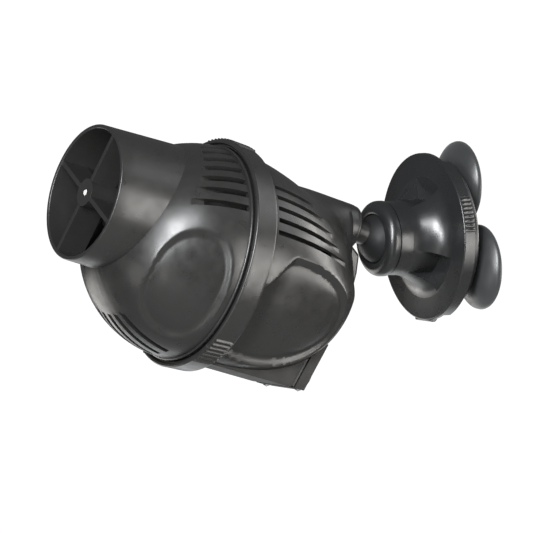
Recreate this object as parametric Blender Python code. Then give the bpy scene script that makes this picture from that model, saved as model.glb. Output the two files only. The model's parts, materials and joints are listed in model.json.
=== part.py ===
"""Wave maker pump on a suction-cup ball mount, as separate solids.

World frame: origin at the centre of the three suction-cup lips, +X out of the glass wall's far side
(the direction in which the cups face), +Z up.  The pump hangs off the ball on the -X side, nose up.
All dimensions below are millimetres and degrees; the mesh helpers turn them into metres.
"""

import math

import bmesh
import bpy
from mathutils import Matrix

MM = 0.001
GAP = 0.3

# Pose of the pump: the pump frame has +X along the water jet, +Z on the stem's side, origin at the
# centre of the lock ring's front plane.
PUMP_PITCH = 16.3
RING_CENTRE_X = -102.06
RING_CENTRE_Z = -2.10

# Ball joint
BALL_X = -29.2
BALL_R = 9.0
SOCKET_CLEARANCE = 0.2

# Mount
BASE_R = 25.3
BASE_BACK_X = -6.5
BASE_FRONT_X = -9.1
BASE_POST_R = 5.0
SHELL_R = 28.0
SHELL_FRONT_X = -14.6
SHELL_REAR_X = -9.4
SHELL_POST_X = -17.9
NECK_R = 12.3
NECK_BORE_R = 10.4
NECK_FRONT_X = -29.1
COLLAR_R = 12.6
COLLAR_FRONT_X = -32.2
POCKETS = 3
POCKET_FIRST_ANGLE = 100.0
POCKET_HALF_ANGLE = 25.0
CUP_CIRCLE_R = 17.5
CUP_R = 14.2
CUP_ANGLES = {"suction_cup_top": 93.7, "suction_cup_left": 213.7, "suction_cup_right": 333.7}
CUP_NECK_R = 3.2

# Front cover: a spheroid about the ring axis
COVER_R = 36.4
FRONT_POLAR = 38.4
COVER_WALL = 2.0
FRONT_SKIRT = 3.2
TOP_SLOTS = 16
SLOT_PITCH = 8.3
BOTTOM_SLOTS = 5
FRONT_SLOT_WIDTH = 2.3
TOP_SLOT_START = 0.7
BOTTOM_SLOT_START = 6.0
BOTTOM_SLOT_END = 25.6
NOZZLE_CREASE_MARGIN = 6.0
# Centre (x, angle), half sizes (x, angle) and depth of the oval grip on each side
FRONT_GRIP_CENTRE = (14.4, -21.0)
FRONT_GRIP_HALF = (11.5, 44.0)
FRONT_GRIP_DEPTH = 2.6

# Outlet nozzle, on the rotor's axis
ROTOR_AXIS_Z = 9.3
NOZZLE_R = 23.2
NOZZLE_WALL = 1.4
NOZZLE_REAR = 12.0
NOZZLE_FRONT = 45.8
SPOKES = 4
FIRST_SPOKE_ANGLE = 66.0
SPOKE_THICKNESS = 1.6
HUB_R = 4.7
HUB_REAR = 36.0
HUB_FRONT = 45.5

# Lock ring
RING_R = 39.0
RING_WIDTH = 8.4
RING_INNER_R = COVER_R + GAP

# Rear cover
REAR_START = -3.6
REAR_LENGTH_TOP = 49.1
REAR_LENGTH_LOW = 50.6
REAR_POWER_CROWN = 1.52
REAR_POWER_TOP = 1.8
REAR_POWER_LOW = 2.6
REAR_SLOTS = 5
REAR_SLOT_FIRST = 19.4
REAR_SLOT_PITCH = 7.05
REAR_SLOT_WIDTH = 1.7
REAR_SLOT_START = -10.3
REAR_SLOT_END = -44.0
REAR_SLOT_SHORTENING = 4.15
REAR_SCOOP_CENTRE = (-25.5, -33.0)
REAR_SCOOP_HALF = (23.5, 44.0)
REAR_SCOOP_LEAN = 0.35
REAR_SCOOP_DEPTH = 4.4
CAVITY_INSET = 0.5
CAVITY_POLE_DEPTH = 2.9
STEM_END = -56.2
STEM_NECK_R = 4.2
GUSSET_HALF_WIDTH = 4.8

# Motor box
BOX_HALF_WIDTH = 13.0
BOX_BOTTOM = -34.7
BOX_FRONT = -9.5
BOX_WALL = 1.6
END_SLANT = math.tan(math.radians(16.0))
BOX_REAR_AT_BOTTOM = -41.4
CAP_TOP = -17.6
SCREW_PLACES = [(y, z) for y in (-10.6, 10.6) for z in (BOX_BOTTOM + 2.6, CAP_TOP - 2.7)]
GLAND_Y = -5.0
GLAND_Z = -26.5
POLE_BOX = ((-38.0, -16.5, -8.0), (BOX_FRONT + 0.1, 16.5, 16.0))
POLE_ROOM = ((-36.4, -14.9, -9.0), (-11.1, 14.9, 14.4))
SEAL_FAR = 1.1
CAP_NEAR = 1.4
CAP_FAR = 5.1
WELL_R = 9.6
WELL_WALL = 1.4
WELL_FRONT = -9.5
WELL_REAR = -43.4
CORE_FRONT = -17.0
CORE_REAR = -33.0
LEG_Y = 5.7
LEG_HALF = 1.9

# Rotor
SHAFT_R = 1.25
SLEEVE_R = 2.9
SLEEVE_BORE = 1.55
MAGNET_R = 9.0
PROPELLER_R = 20.3
PROPELLER_HUB_R = 6.0
PROPELLER_REAR = 17.0
PROPELLER_FRONT = 29.0
BLADES = 4


# ---------------------------------------------------------------- materials

def material(name, colour, roughness, metallic=0.0):
    mat = bpy.data.materials.new(name)
    mat.use_nodes = True
    shader = mat.node_tree.nodes["Principled BSDF"]
    shader.inputs["Base Color"].default_value = (*colour, 1.0)
    shader.inputs["Roughness"].default_value = roughness
    shader.inputs["Metallic"].default_value = metallic
    mat.diffuse_color = (*colour, 1.0)
    return mat


# ---------------------------------------------------------------- mesh helpers

def turned(profile, segments=40, at=(0.0, 0.0)):
    """A solid turned about the X axis from a closed (x, r) outline; the axis passes through y, z = at."""
    bm = bmesh.new()
    verts = [bm.verts.new((x * MM, 0.0, r * MM)) for x, r in profile]
    edges = [bm.edges.new((verts[i], verts[(i + 1) % len(verts)])) for i in range(len(verts))]
    bmesh.ops.spin(bm, geom=verts + edges, axis=(1, 0, 0), cent=(0, 0, 0), angle=math.tau,
                   steps=segments, use_merge=True)
    bmesh.ops.remove_doubles(bm, verts=bm.verts, dist=1e-6)
    loose = [e for e in bm.edges if not e.link_faces]
    bmesh.ops.delete(bm, geom=loose, context="EDGES")
    bmesh.ops.translate(bm, verts=bm.verts, vec=(0.0, at[0] * MM, at[1] * MM))
    bmesh.ops.recalc_face_normals(bm, faces=bm.faces)
    return bm


def block(low, high):
    """A rectangular block between two corners."""
    bm = bmesh.new()
    size = [(b - a) * MM for a, b in zip(low, high)]
    centre = [(a + b) * 0.5 * MM for a, b in zip(low, high)]
    bmesh.ops.create_cube(bm, size=1.0, matrix=Matrix.Translation(centre) @ Matrix.Diagonal((*size, 1.0)))
    return bm


def prism(outline, low, high, across="y"):
    """An outline extruded from low to high: (x, z) points across y, or (y, z) points across x."""
    bm = bmesh.new()
    if across == "y":
        verts = [bm.verts.new((u * MM, low * MM, v * MM)) for u, v in outline]
        shift = (0.0, (high - low) * MM, 0.0)
    else:
        verts = [bm.verts.new((low * MM, u * MM, v * MM)) for u, v in outline]
        shift = ((high - low) * MM, 0.0, 0.0)
    face = bm.faces.new(verts)
    sides = bmesh.ops.extrude_face_region(bm, geom=[face])
    moved = [g for g in sides["geom"] if isinstance(g, bmesh.types.BMVert)]
    bmesh.ops.translate(bm, verts=moved, vec=shift)
    bmesh.ops.recalc_face_normals(bm, faces=bm.faces)
    return bm


def grid_shell(rings):
    """A closed skin through rings of points; a ring of one point is a pole."""
    bm = bmesh.new()
    rows = [[bm.verts.new([c * MM for c in p]) for p in ring] for ring in rings]
    for lower, upper in zip(rows, rows[1:] + rows[:1]):
        if len(lower) == 1 and len(upper) == 1:
            continue
        count = max(len(lower), len(upper))
        for i in range(count):
            j = (i + 1) % count
            if len(lower) == 1:
                bm.faces.new((lower[0], upper[j], upper[i]))
            elif len(upper) == 1:
                bm.faces.new((lower[i], lower[j], upper[0]))
            else:
                bm.faces.new((lower[i], lower[j], upper[j], upper[i]))
    bmesh.ops.recalc_face_normals(bm, faces=bm.faces)
    return bm


def joined(parts):
    """Several separate solids as one mesh."""
    whole = bmesh.new()
    for part in parts:
        piece = bpy.data.meshes.new("piece")
        part.to_mesh(piece)
        part.free()
        whole.from_mesh(piece)
        bpy.data.meshes.remove(piece)
    return whole


def moved(bm, matrix):
    bmesh.ops.transform(bm, matrix=matrix, verts=bm.verts)
    return bm


def turn_x(bm, degrees, y=0.0, z=0.0):
    """Turn a mesh about an axis along X through (y, z)."""
    centre = Matrix.Translation((0.0, y * MM, z * MM))
    return moved(bm, centre @ Matrix.Rotation(math.radians(degrees), 4, "X") @ centre.inverted())


def add(name, bm, mat, parent, smooth=35.0):
    mesh = bpy.data.meshes.new(name)
    bm.to_mesh(mesh)
    bm.free()
    mesh.materials.append(mat)
    mesh.shade_smooth()
    mesh.set_sharp_from_angle(angle=math.radians(smooth))
    obj = bpy.data.objects.new(name, mesh)
    bpy.context.scene.collection.objects.link(obj)
    obj.parent = parent
    if parent:
        # Meshes are drawn in the frame of their assembly, so a child of a joint's empty steps back to it.
        obj.location = [-c for c in parent.get("drawn_from", (0.0, 0.0, 0.0))]
    return obj


def tool(name, bm, parent):
    obj = add(name, bm, MATERIALS["guide"], parent)
    obj.hide_render = True
    obj.display_type = "WIRE"
    return obj


def combine(obj, operation, other):
    modifier = obj.modifiers.new(other.name, "BOOLEAN")
    modifier.operation = operation
    modifier.solver = "EXACT"
    modifier.object = other


def cut(obj, bm):
    combine(obj, "DIFFERENCE", tool(f"{obj.name}.cut.{len(obj.modifiers)}", bm, obj.parent))


def fuse(obj, bm):
    combine(obj, "UNION", tool(f"{obj.name}.add.{len(obj.modifiers)}", bm, obj.parent))


def empty(name, location, parent=None, pitch=0.0, drawn_from=(0.0, 0.0, 0.0)):
    """An axis marker; drawn_from is its place in the frame in which its children's meshes are drawn."""
    obj = bpy.data.objects.new(name, None)
    bpy.context.scene.collection.objects.link(obj)
    obj.location = [c * MM for c in location]
    obj.rotation_euler = (0.0, -math.radians(pitch), math.pi if pitch else 0.0)
    obj.parent = parent
    obj["drawn_from"] = [c * MM for c in drawn_from]
    return obj


def arc(centre, radius, start, end, steps):
    """Points (x, r) on an arc, angles in degrees from the +x direction."""
    points = []
    for i in range(steps + 1):
        angle = math.radians(start + (end - start) * i / steps)
        points.append((centre[0] + radius * math.cos(angle), centre[1] + radius * math.sin(angle)))
    return points


def smoothstep(low, high, value):
    t = min(1.0, max(0.0, (value - low) / (high - low)))
    return t * t * (3.0 - 2.0 * t)


# ---------------------------------------------------------------- frames

def pump_frame_of_ball():
    """The ball's centre in the pump frame."""
    pitch = math.radians(PUMP_PITCH)
    dx = BALL_X - RING_CENTRE_X
    dz = -RING_CENTRE_Z
    return -dx * math.cos(pitch) + dz * math.sin(pitch), dx * math.sin(pitch) + dz * math.cos(pitch)


# ---------------------------------------------------------------- mount

def mount_base(frame):
    post = [
        (BASE_BACK_X, 2.4), (BASE_BACK_X, BASE_R - 0.6), (BASE_BACK_X - 0.6, BASE_R),
        (BASE_FRONT_X, BASE_R), (BASE_FRONT_X, BASE_POST_R),
        (SHELL_POST_X + GAP, BASE_POST_R), (SHELL_POST_X + GAP, 2.4),
    ]
    base = add("mount_base", turned(post, 36), MATERIALS["mount"], frame)
    hole = [(BASE_BACK_X + 1, 0), (BASE_BACK_X + 1, CUP_NECK_R + GAP),
            (BASE_FRONT_X - 1, CUP_NECK_R + GAP), (BASE_FRONT_X - 1, 0)]
    cut(base, joined([turned(hole, 16, at=cup_centre(angle)) for angle in CUP_ANGLES.values()]))


def cup_centre(angle):
    return CUP_CIRCLE_R * math.cos(math.radians(angle)), CUP_CIRCLE_R * math.sin(math.radians(angle))


def suction_cups(frame):
    """Domed cups with a flat lip, a neck through the base plate and a button behind it."""
    button_front = BASE_FRONT_X - GAP
    profile = [
        (0.0, CUP_R - 1.3), (0.0, CUP_R), (-1.0, CUP_R), (-2.9, 11.6), (-4.7, 8.2), (-6.0, 5.0),
        (-6.2, CUP_NECK_R), (button_front, CUP_NECK_R), (button_front, 4.6), (-10.6, 4.6), (-11.5, 3.2),
        (-11.5, 0.0), (-3.4, 0.0), (-3.0, 4.5), (-1.9, 9.0),
    ]
    for name, angle in CUP_ANGLES.items():
        add(name, turned(profile, 20, at=cup_centre(angle)), MATERIALS["cup"], frame)


def pivot_screw(frame):
    head_back = BASE_BACK_X + GAP
    profile = [(head_back + 2.0, 0), (head_back + 2.0, 3.4), (head_back + 1.4, 4.0), (head_back, 4.0),
               (head_back, 2.0), (-19.3, 2.0), (-19.3, 0)]
    add("mount_pivot_screw", turned(profile, 16), MATERIALS["steel"], frame)


def mount_shell(frame):
    """Round shell: rim, dished face, flare, neck with the ball socket's bore, and a hollow behind."""
    flare = [(-13.9, 20.5), (-14.4, 18.8), (-15.6, 16.6), (-17.6, 14.5), (-20.0, 12.9), (-22.4, NECK_R)]
    profile = [
        (SHELL_REAR_X, SHELL_R - 0.3), (SHELL_REAR_X - 0.4, SHELL_R), (SHELL_FRONT_X + 0.4, SHELL_R),
        (SHELL_FRONT_X, SHELL_R - 0.4), (SHELL_FRONT_X, SHELL_R - 1.0), (-13.9, SHELL_R - 1.6),
        *flare,
        (NECK_FRONT_X, NECK_R), (NECK_FRONT_X, NECK_BORE_R), (-19.9, NECK_BORE_R), (-19.9, 2.4),
        (SHELL_POST_X, 2.4), (SHELL_POST_X, 10.4), (-11.9, 10.4), (-11.9, 26.0), (SHELL_REAR_X, 26.0),
    ]
    shell = add("mount_shell", turned(profile, 36), MATERIALS["mount"], frame)
    cut(shell, joined([pocket(POCKET_FIRST_ANGLE + 360.0 / POCKETS * i) for i in range(POCKETS)]))
    fuse(shell, thumb_tab())


def pocket(angle):
    """Wedge that takes the flare away down to the dished face, leaving the neck."""
    inner = NECK_R + 0.35
    outer = 23.0
    points = arc((0, 0), inner, angle + POCKET_HALF_ANGLE, angle - POCKET_HALF_ANGLE, 4)
    points += arc((0, 0), outer, angle - POCKET_HALF_ANGLE, angle + POCKET_HALF_ANGLE, 5)
    return prism(points, -26.0, -13.6, across="x")


def thumb_tab():
    outline = [(-4.5, -27.0), (-4.5, -28.3), (4.5, -28.3), (4.5, -27.0)]
    return prism(outline, -14.2, SHELL_REAR_X, across="x")


def socket_collar(frame):
    """Collar on the neck's end whose lip reaches just past the ball's equator."""
    depth = BALL_X - COLLAR_FRONT_X
    mouth = math.sqrt((BALL_R + SOCKET_CLEARANCE) ** 2 - depth ** 2)
    mid = math.sqrt((BALL_R + SOCKET_CLEARANCE) ** 2 - (depth * 0.5) ** 2)
    rear = NECK_FRONT_X - GAP
    profile = [
        (rear, BALL_R + 0.4), (rear, COLLAR_R - 0.3), (rear - 0.4, COLLAR_R), (-31.2, COLLAR_R),
        (-31.9, COLLAR_R - 0.6), (COLLAR_FRONT_X, COLLAR_R - 1.6), (COLLAR_FRONT_X, mouth + 0.5),
        (COLLAR_FRONT_X + 0.2, mouth + 0.1), (BALL_X - depth * 0.5, mid + 0.05),
    ]
    add("socket_collar", turned(profile, 32), MATERIALS["mount"], frame)


def ball_seat(frame):
    """Liner cup that the ball turns in."""
    inner = [(BALL_X + x, r) for x, r in arc((0, 0), BALL_R + SOCKET_CLEARANCE + 0.1, 88, 27, 6)]
    floor = -20.3
    profile = [(floor, 3.6), (floor, NECK_BORE_R - GAP), (BALL_X + 0.3, NECK_BORE_R - GAP)]
    add("ball_seat", turned(profile + inner, 28), MATERIALS["liner"], frame)


def ball(frame):
    profile = [(BALL_X + x, r) for x, r in arc((0, 0), BALL_R, 0, 180, 12)]
    profile = [(x, max(r, 0.0)) for x, r in profile]
    add("ball", turned(profile[1:-1] + [profile[-1], profile[0]], 20), MATERIALS["mount"], frame)


# ---------------------------------------------------------------- covers

def around(count):
    return [math.tau * i / count for i in range(count)]


def front_dimple(x, phi):
    """Depth of the finger grip on each side of the front cover; phi is 0 at the side, 90 at the top."""
    s = (x - FRONT_GRIP_CENTRE[0]) / FRONT_GRIP_HALF[0]
    t = (phi - FRONT_GRIP_CENTRE[1]) / FRONT_GRIP_HALF[1]
    return FRONT_GRIP_DEPTH * smoothstep(0.0, 0.55, 1.0 - math.hypot(s, t))


def rear_dimple(x, phi):
    """Depth of the large scoop on each side of the rear cover, which runs up to the lock ring."""
    if x > -RING_WIDTH - GAP:
        return 0.0
    along = x - REAR_SCOOP_CENTRE[0]
    s = along / REAR_SCOOP_HALF[0]
    t = (phi - REAR_SCOOP_CENTRE[1] + REAR_SCOOP_LEAN * along) / REAR_SCOOP_HALF[1]
    return REAR_SCOOP_DEPTH * smoothstep(0.0, 0.45, 1.0 - math.hypot(s, t))


def side_angle(angle):
    """Angle above the horizontal, from -90 to 90, the same on both sides."""
    return math.degrees(math.asin(max(-1.0, min(1.0, math.sin(angle)))))


def front_ring(beta, wall, count):
    polar = FRONT_POLAR - wall
    radius = COVER_R - wall
    x = polar * math.sin(beta)
    points = []
    for angle in around(count):
        r = radius * math.cos(beta) - front_dimple(x, side_angle(angle))
        points.append((x, r * math.cos(angle), r * math.sin(angle)))
    return points


def front_cover_mesh(count=48, steps=8):
    edge = -FRONT_SKIRT
    betas = [math.radians(84.0) * i / steps for i in range(steps + 1)]
    skirt = [[(edge, r * math.cos(a), r * math.sin(a)) for a in around(count)]
             for r in (COVER_R, COVER_R - COVER_WALL)]
    outer = [front_ring(b, 0.0, count) for b in betas] + [[(FRONT_POLAR, 0.0, 0.0)]]
    inner = [[(FRONT_POLAR - COVER_WALL, 0.0, 0.0)]] + [front_ring(b, COVER_WALL, count) for b in betas[::-1]]
    return grid_shell([skirt[0], *outer, *inner, skirt[1]])


def crease_x(phi):
    """Where the nozzle leaves the dome, at an angle phi around the ring axis."""
    lift = ROTOR_AXIS_Z * math.sin(phi)
    r = lift + math.sqrt(NOZZLE_R ** 2 - (ROTOR_AXIS_Z * math.cos(phi)) ** 2)
    return FRONT_POLAR * math.sqrt(1.0 - (r / COVER_R) ** 2)


def radial_slot(start, end, width, phi_degrees, inner=24.0, outer=45.0):
    return turn_x(block((start, -width / 2, inner), (end, width / 2, outer)), phi_degrees - 90.0)


def front_slots():
    first = 90.0 - SLOT_PITCH * (TOP_SLOTS - 1) / 2.0
    slots = []
    for i in range(TOP_SLOTS):
        phi = first + SLOT_PITCH * i
        end = crease_x(math.radians(phi)) - NOZZLE_CREASE_MARGIN
        slots.append(radial_slot(TOP_SLOT_START, end, FRONT_SLOT_WIDTH, phi))
    for i in range(BOTTOM_SLOTS):
        phi = -90.0 + SLOT_PITCH * (i - (BOTTOM_SLOTS - 1) / 2.0)
        slots.append(radial_slot(BOTTOM_SLOT_START, BOTTOM_SLOT_END, FRONT_SLOT_WIDTH, phi, inner=18.0))
    return joined(slots)


def front_cover(frame):
    cover = add("front_cover", front_cover_mesh(), MATERIALS["pump"], frame)
    hole_r = NOZZLE_R + GAP
    hole = [(0.0, 0.0), (0.0, hole_r), (60.0, hole_r), (60.0, 0.0)]
    cut(cover, turned(hole, 48, at=(0.0, ROTOR_AXIS_Z)))
    cut(cover, front_slots())


def rear_radius(u, phi, wall):
    """Distance from the ring axis at the share u of the cover's length, slimmer above the side's middle."""
    upper = smoothstep(-5.0, 25.0, phi)
    power = REAR_POWER_LOW + (REAR_POWER_TOP - REAR_POWER_LOW) * upper
    power += (REAR_POWER_CROWN - REAR_POWER_TOP) * smoothstep(40.0, 85.0, phi)
    return (COVER_R - wall) * math.sqrt(max(0.0, 1.0 - u ** power))


def rear_ring(u, wall, count):
    points = []
    for angle in around(count):
        phi = side_angle(angle)
        upper = smoothstep(-5.0, 25.0, phi)
        length = REAR_LENGTH_LOW + (REAR_LENGTH_TOP - REAR_LENGTH_LOW) * upper - wall
        x = -RING_WIDTH - length * u
        r = rear_radius(u, phi, wall) - rear_dimple(x, phi) * (1.0 - u ** 6)
        points.append((x, r * math.cos(angle), r * math.sin(angle)))
    return points


def rear_cover_mesh(count=48):
    shares = [0.0, 0.012, 0.12, 0.24, 0.36, 0.48, 0.6, 0.72, 0.83, 0.92, 0.98]
    skirt = [[(REAR_START, r * math.cos(a), r * math.sin(a)) for a in around(count)]
             for r in (COVER_R, COVER_R - COVER_WALL)]
    tip = -RING_WIDTH - REAR_LENGTH_LOW
    outer = [rear_ring(u, 0.0, count) for u in shares] + [[(tip, 0.0, 0.0)]]
    inner = [[(tip + COVER_WALL, 0.0, 0.0)]] + [rear_ring(u, COVER_WALL, count) for u in shares[::-1]]
    return grid_shell([skirt[0], *outer, *inner, skirt[1]])


def rear_cavity_mesh(count=40):
    """The hollow of the rear cover, used to trim the stem where it would reach inside."""
    shares = [0.0, 0.2, 0.4, 0.6, 0.79, 0.94]
    mouth = [(0.0, r * math.cos(a), r * math.sin(a)) for r in (COVER_R - COVER_WALL,) for a in around(count)]
    rings = [rear_ring(u, COVER_WALL - CAVITY_INSET, count) for u in shares]
    return grid_shell([[(0.0, 0.0, 0.0)], mouth, *rings, [(-RING_WIDTH - REAR_LENGTH_LOW + CAVITY_POLE_DEPTH, 0.0, 0.0)]])


def stem_mesh(ball_z):
    """Tapering stem with a round shoulder, a thin neck and an end hollowed to the ball."""
    ball_x = pump_frame_of_ball()[0]
    touch = BALL_R + GAP
    neck_end = ball_x + math.sqrt(touch ** 2 - STEM_NECK_R ** 2)
    hollow = [(ball_x + x, r) for x, r in arc((0, 0), touch, 27, 0, 3)][1:]
    profile = [(neck_end, STEM_NECK_R), *hollow, (-24.0, 0.0), (-24.0, 9.4), (-33.0, 8.75), (-44.0, 8.35),
               (-53.0, 8.0), (STEM_END + 0.9, 7.7), (STEM_END, 6.9), (STEM_END, STEM_NECK_R)]
    profile = [(x, max(0.0, r)) for x, r in profile]
    return turned(profile, 24, at=(0.0, ball_z))


def gusset_mesh():
    outline = [(-52.0, 18.0), (-55.6, 16.6), (-59.4, 14.2), (-59.4, 8.5), (-58.6, 2.5), (-54.0, -2.0),
               (-46.0, -2.0), (-46.0, 18.0)]
    return prism(outline, -GUSSET_HALF_WIDTH, GUSSET_HALF_WIDTH)


def rear_slots():
    """Five slots on each side; each is shorter than the one below it, along the stem's flank."""
    slots = []
    for i in range(REAR_SLOTS):
        end = REAR_SLOT_END + REAR_SLOT_SHORTENING * i
        phi = REAR_SLOT_FIRST + REAR_SLOT_PITCH * i
        for angle in (phi, 180.0 - phi):
            slots.append(radial_slot(end, REAR_SLOT_START, REAR_SLOT_WIDTH, angle, inner=18.0))
    return joined(slots)


def box_opening():
    """The room in the rear cover's underside that the motor box passes through."""
    half = BOX_HALF_WIDTH + GAP
    top = CAP_TOP + GAP
    outline = [(-9.2, -60.0), (-9.2, -12.0), (-44.0, -12.0), (-44.0, top), (-62.0, top), (-62.0, -60.0)]
    return prism(outline, -half, half)


def rear_cover(frame):
    ball_z = pump_frame_of_ball()[1]
    cover = add("rear_cover", rear_cover_mesh(), MATERIALS["pump"], frame)
    cut(cover, rear_slots())
    stem = tool("rear_cover.stem", stem_mesh(ball_z), frame)
    combine(stem, "UNION", tool("rear_cover.gusset", gusset_mesh(), frame))
    combine(stem, "DIFFERENCE", tool("rear_cover.hollow", rear_cavity_mesh(), frame))
    combine(cover, "UNION", stem)
    cut(cover, box_opening())


def lock_ring(frame):
    lip = 0.5
    profile = [
        (0.0, RING_INNER_R), (0.0, RING_R - lip), (-lip, RING_R), (-RING_WIDTH + lip, RING_R),
        (-RING_WIDTH, RING_R - lip), (-RING_WIDTH, RING_INNER_R),
    ]
    add("lock_ring", turned(profile, 56), MATERIALS["pump"], frame)


# ---------------------------------------------------------------- nozzle

def outlet_nozzle(frame):
    """Outlet tube with a round front edge, crossed by four deep spokes that carry the hub."""
    bore = NOZZLE_R - NOZZLE_WALL
    centre = (0.0, ROTOR_AXIS_Z)
    tube = [(NOZZLE_REAR, bore), (NOZZLE_REAR, NOZZLE_R), (NOZZLE_FRONT - 0.5, NOZZLE_R),
            (NOZZLE_FRONT, NOZZLE_R - 0.5), (NOZZLE_FRONT, bore + 0.4), (NOZZLE_FRONT - 0.4, bore)]
    nozzle = add("outlet_nozzle", turned(tube, 48, at=centre), MATERIALS["pump"], frame)
    for i in range(SPOKES // 2):
        half = SPOKE_THICKNESS / 2
        reach = bore + NOZZLE_WALL / 2
        bar = block((HUB_REAR, -half, ROTOR_AXIS_Z - reach), (HUB_FRONT - 0.2, half, ROTOR_AXIS_Z + reach))
        fuse(nozzle, turn_x(bar, FIRST_SPOKE_ANGLE - 90.0 + 90.0 * i, z=ROTOR_AXIS_Z))
    hub = [(HUB_REAR - 1.0, 0.0), (HUB_REAR - 1.0, HUB_R), (HUB_FRONT, HUB_R), (HUB_FRONT, 0.0)]
    fuse(nozzle, turned(hub, 24, at=centre))
    seat = [(HUB_REAR - 2.0, 0.0), (HUB_REAR - 2.0, 2.9), (44.4, 2.9), (44.4, 1.5), (47.0, 1.5), (47.0, 0.0)]
    cut(nozzle, turned(seat, 20, at=centre))


def sleeve_ring(name, low, high, inner, outer, mat, frame, segments=16):
    profile = [(low, inner), (low, outer), (high, outer), (high, inner)]
    add(name, turned(profile, segments, at=(0.0, ROTOR_AXIS_Z)), MATERIALS[mat], frame)


# ---------------------------------------------------------------- motor

def slant_x(z, offset=0.0):
    """x of the motor box's slanted rear plane at height z, moved back by offset."""
    return BOX_REAR_AT_BOTTOM - offset - (z - BOX_BOTTOM) * END_SLANT


def box_side(inset, rear_extra):
    """Side outline of the lower motor box, drawn in by inset, its slanted end moved back by rear_extra."""
    low = BOX_BOTTOM + inset
    top = CAP_TOP - inset
    return [(BOX_FRONT - inset, low), (slant_x(low, rear_extra), low), (slant_x(top, rear_extra), top),
            (-43.0 + inset, top), (-43.0 + inset, -7.0), (BOX_FRONT - inset, -7.0)]


def well_solid(radius, rear, front, segments=32):
    profile = [(rear, 0.0), (rear, radius), (front, radius), (front, 0.0)]
    return turned(profile, segments, at=(0.0, ROTOR_AXIS_Z))


def motor_housing(frame):
    """Box for the coils below, wider box for the poles above, and the blind well for the rotor."""
    half = BOX_HALF_WIDTH
    housing = add("motor_housing", prism(box_side(0.0, 0.0), -half, half), MATERIALS["pump"], frame)
    fuse(housing, block(*POLE_BOX))
    fuse(housing, well_solid(WELL_R + WELL_WALL, WELL_REAR, WELL_FRONT + 0.2))
    inner = half - BOX_WALL
    hollow = tool("motor_housing.hollow", prism(box_side(BOX_WALL, 3.0), -inner, inner), frame)
    combine(hollow, "UNION", tool("motor_housing.poles", block(*POLE_ROOM), frame))
    combine(hollow, "DIFFERENCE",
            tool("motor_housing.well", well_solid(WELL_R + WELL_WALL - 0.05, WELL_REAR - 2, WELL_FRONT + 2), frame))
    combine(housing, "DIFFERENCE", hollow)
    cut(housing, well_solid(WELL_R, WELL_REAR + 1.5, WELL_FRONT + 3.0))


def plate_on_slant(near, far, low, high):
    """Side outline of a plate that lies on the slanted end, between two offsets and two heights."""
    return [(slant_x(low, near), low), (slant_x(low, far), low), (slant_x(high, far), high),
            (slant_x(high, near), high)]


def end_cap(frame):
    half = BOX_HALF_WIDTH
    gasket = prism(plate_on_slant(GAP, SEAL_FAR, BOX_BOTTOM + 0.5, CAP_TOP - 0.5), -half + 0.5, half - 0.5)
    seal = add("end_cap_seal", gasket, MATERIALS["rubber"], frame)
    cut(seal, prism(plate_on_slant(-2.0, 3.0, BOX_BOTTOM + 2.0, CAP_TOP - 2.0), -half + 2.0, half - 2.0))
    cap = add("motor_end_cap", prism(plate_on_slant(CAP_NEAR, CAP_FAR, BOX_BOTTOM, CAP_TOP - 0.1), -half, half),
              MATERIALS["pump"], frame)
    screw_hole = [(-9.0, 0), (-9.0, 2.5), (-2.9, 2.5), (-2.9, 1.5), (-1.0, 1.5), (-1.0, 0)]
    gland_hole = [(-9.0, 0), (-9.0, 3.3), (2.0, 3.3), (2.0, 0)]
    holes = [on_slant(screw_hole, y, z) for y, z in SCREW_PLACES]
    cut(cap, joined([*holes, on_slant(gland_hole, GLAND_Y, GLAND_Z)]))
    screw = [(-4.6, 0), (-4.6, 1.8), (-4.2, 2.2), (-3.2, 2.2), (-3.2, 1.2), (-1.3, 1.2), (-1.3, 0)]
    for number, (y, z) in enumerate(SCREW_PLACES, 1):
        add(f"end_cap_screw_{number}", on_slant(screw, y, z), MATERIALS["steel"], frame)
    gland = [(-1.6, 1.7), (-1.6, 3.0), (-5.4, 3.0), (-5.4, 4.6), (-7.0, 4.6), (-7.6, 4.0), (-13.0, 3.2), (-13.0, 1.7)]
    add("cable_gland", on_slant(gland, GLAND_Y, GLAND_Z, 16), MATERIALS["rubber"], frame)


def on_slant(profile, y, z, segments=10):
    """A turned piece whose axis stands square on the slanted end at (y, z)."""
    bm = turned(profile, segments)
    turn = Matrix.Rotation(-math.atan(END_SLANT), 4, "Y")
    return moved(bm, Matrix.Translation((slant_x(z) * MM, y * MM, z * MM)) @ turn)


def stator(frame):
    outer = LEG_Y + LEG_HALF
    inner = LEG_Y - LEG_HALF
    pole = 14.6
    outline = [(-pole, 14.0), (-pole, -7.0), (-outer, -7.0), (-outer, -32.5), (outer, -32.5), (outer, -7.0),
               (pole, -7.0), (pole, 14.0), (inner, 14.0), (inner, -28.0), (-inner, -28.0), (-inner, 14.0)]
    core = add("stator_core", prism(outline, CORE_REAR, CORE_FRONT, across="x"), MATERIALS["iron"], frame)
    cut(core, well_solid(WELL_R + WELL_WALL + GAP, CORE_REAR - 2, CORE_FRONT + 2))
    for name, side in (("left", -1.0), ("right", 1.0)):
        bobbin_and_winding(name, side * LEG_Y, frame)


def square_ring(y, half_x, half_y, low, high, hole_x, hole_y):
    """A rectangular sleeve around a core leg, as its outer block and the block of its hole."""
    mid = (CORE_FRONT + CORE_REAR) / 2
    body = block((mid - half_x, y - half_y, low), (mid + half_x, y + half_y, high))
    hole = block((mid - hole_x, y - hole_y, low - 5), (mid + hole_x, y + hole_y, high + 5))
    return body, hole


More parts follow.
